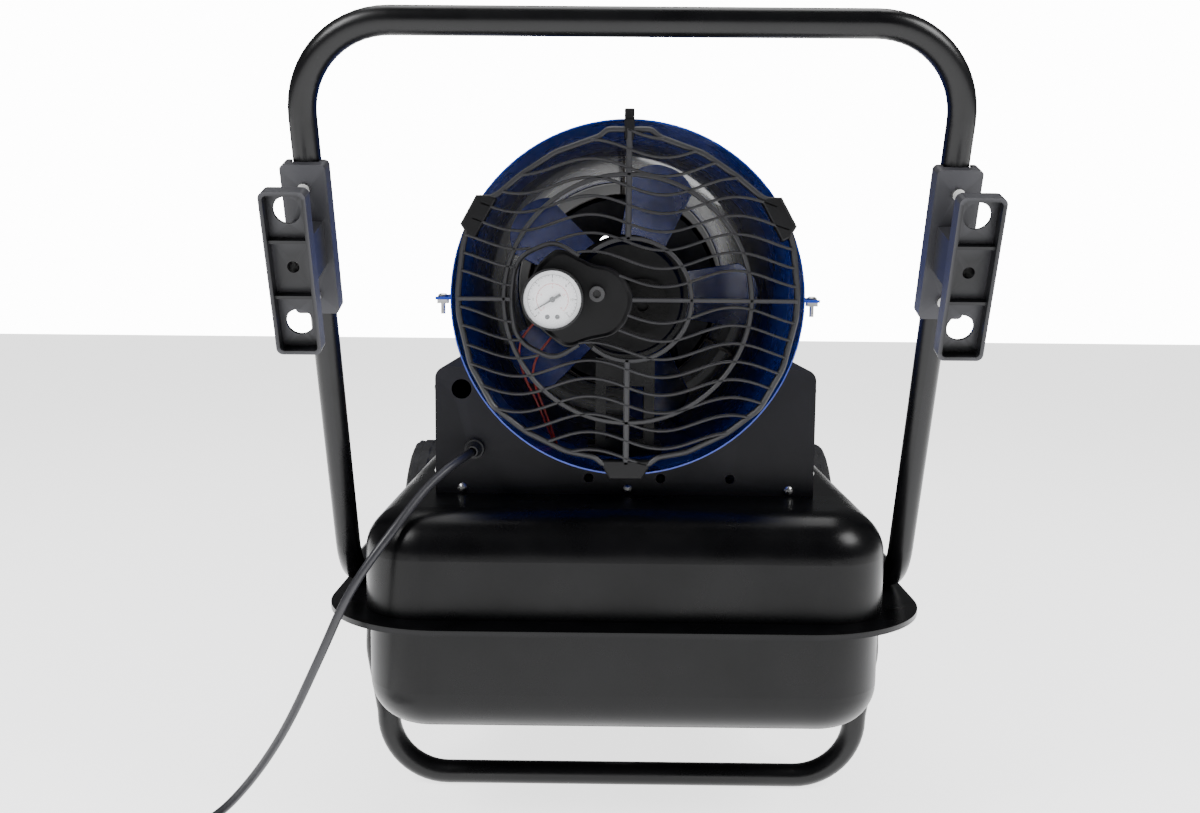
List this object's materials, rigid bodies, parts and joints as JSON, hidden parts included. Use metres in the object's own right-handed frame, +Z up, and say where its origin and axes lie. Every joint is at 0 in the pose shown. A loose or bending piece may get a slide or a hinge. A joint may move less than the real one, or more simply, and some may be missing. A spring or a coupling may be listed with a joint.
{
  "type": "portable forced air heater",
  "caption": "Wheeled oil-fired air heater: fuel tank, cradle box, barrel with intake guard, fan, burner and gauge, tube handle with cord hooks, mains cord.",
  "frame": {"origin": "on the floor, midway along and across the heater without its cord", "axes": "+Y the way the air blows, from intake to outlet; +X to the right seen from behind the intake; +Z up"},
  "size_m": [0.7292, 0.9859, 0.704],
  "materials": {
    "tank_paint": "satin black powder coat",
    "tube_paint": "satin black powder coat",
    "cradle_paint": "fine satin black powder coat",
    "shell_blue": "gloss blue enamel",
    "zinc_steel": "bright zinc plate",
    "cap_plastic": "moulded",
    "gauge_plastic": "moulded",
    "black_plastic": "fine texture",
    "tyre_rubber": "ribbed tread",
    "rim_plastic": "moulded",
    "switch_plastic": "polished",
    "window_glass": "tinted window",
    "board_green": "coated board",
    "can_aluminium": "drawn",
    "nose_steel": "heat-proof black",
    "guard_plastic": "fine moulded texture",
    "gauge_black": "black enamel",
    "dial_white": "printed",
    "clear_glass": "clear",
    "needle_black": "matt",
    "pump_paint": "black paint on a casting",
    "rotor_steel": "ground",
    "filter_felt": "felt",
    "motor_steel": "black stamped steel",
    "fan_aluminium": "stamped",
    "burner_steel": "stamped",
    "brass_fitting": "turned",
    "ceramic_white": "glazed",
    "chamber_steel": "heat-tinted stainless",
    "hose_rubber": "smooth",
    "hook_plastic": "fine moulded texture",
    "gland_rubber": "smooth",
    "cord_rubber": "smooth jacket",
    "plug_rubber": "moulded"
  },
  "bodies": {
    "heater": {"air_filter": "filter_felt", "axle": "zinc_steel", "axle_retainers": "black_plastic", "base_frame": "tube_paint", "burner_head": "burner_steel", "combustion_chamber": "chamber_steel", "control_board": "board_green", "cord_coil": "cord_rubber", "cord_gland": "gland_rubber", "cord_hook_left": "hook_plastic", "cord_hook_right": "hook_plastic", "cord_plug": "plug_rubber", "cradle_base_plate": "zinc_steel", "cradle_front_plate": "cradle_paint", "cradle_left_cover": "cradle_paint", "cradle_rear_plate": "cradle_paint", "cradle_right_cover": "cradle_paint", "display_window": "window_glass", "drain_plug": "zinc_steel", "filler_neck": "tank_paint", "flame_spreader": "chamber_steel", "frame_bolts": "zinc_steel", "fuel_gauge": "gauge_plastic", "fuel_line": "hose_rubber", "gauge_case": "gauge_black", "gauge_dial": "dial_white", "gauge_lens": "clear_glass", "handle_tube": "tube_paint", "igniter": "ceramic_white", "ignition_transformer": "black_plastic", "intake_guard": "guard_plastic", "lower_shell": "shell_blue", "motor_body": "motor_steel", "motor_bracket": "motor_steel", "motor_capacitor": "can_aluminium", "nozzle": "brass_fitting", "outlet_nose": "nose_steel", "pan_screws": "zinc_steel", "photocell": "black_plastic", "power_cord": "cord_rubber", "pump_body": "pump_paint", "pump_end_cover": "pump_paint", "shell_screws": "zinc_steel", "switch_housing": "black_plastic", "tank_lower_half": "tank_paint", "tank_upper_half": "tank_paint", "tube_end_plugs": "black_plastic", "upper_shell": "shell_blue"},
    "fan_set": {"fan": "fan_aluminium", "motor_shaft": "zinc_steel", "pump_rotor": "rotor_steel"},
    "wheel_left": {"tyre_left": "tyre_rubber", "wheel_rim_left": "rim_plastic"},
    "wheel_right": {"tyre_right": "tyre_rubber", "wheel_rim_right": "rim_plastic"},
    "switch_rocker": {"power_switch": "switch_plastic"},
    "thermostat": {"thermostat_knob": "black_plastic"},
    "filler_cap": {"fuel_cap": "cap_plastic"},
    "needle": {"gauge_needle": "needle_black"},
    "adjuster": {"pump_adjuster": "black_plastic"}
  },
  "joints": [
    {"name": "fan_spin", "type": "hinge", "parent": "heater", "child": "fan_set", "pos_m": [0, -0.15, 0.482], "axis": [0, 1, 0], "continuous": true},
    {"name": "wheel_left_spin", "type": "hinge", "parent": "heater", "child": "wheel_left", "pos_m": [-0.2772, 0.359, 0.127], "axis": [1, 0, 0], "continuous": true},
    {"name": "wheel_right_spin", "type": "hinge", "parent": "heater", "child": "wheel_right", "pos_m": [0.2772, 0.359, 0.127], "axis": [1, 0, 0], "continuous": true},
    {"name": "switch_rock", "type": "hinge", "parent": "heater", "child": "switch_rocker", "pos_m": [-0.1741, -0.196, 0.362], "axis": [0, 1, 0], "range_deg": [0, 14]},
    {"name": "thermostat_turn", "type": "hinge", "parent": "heater", "child": "thermostat", "pos_m": [-0.1766, -0.106, 0.362], "axis": [1, 0, 0], "range_deg": [-135, 135]},
    {"name": "fuel_cap_turn", "type": "hinge", "parent": "heater", "child": "filler_cap", "pos_m": [0.152, 0.186, 0.2982], "axis": [0, 0, 1], "range_deg": [0, 100]},
    {"name": "gauge_needle_turn", "type": "hinge", "parent": "heater", "child": "needle", "pos_m": [-0.0635, -0.366, 0.4825], "axis": [0, 1, 0], "range_deg": [0, 250]},
    {"name": "pump_adjuster_turn", "type": "hinge", "parent": "heater", "child": "adjuster", "pos_m": [-0.0263, -0.34, 0.487], "axis": [0, 1, 0], "range_deg": [-180, 180]}
  ]
}
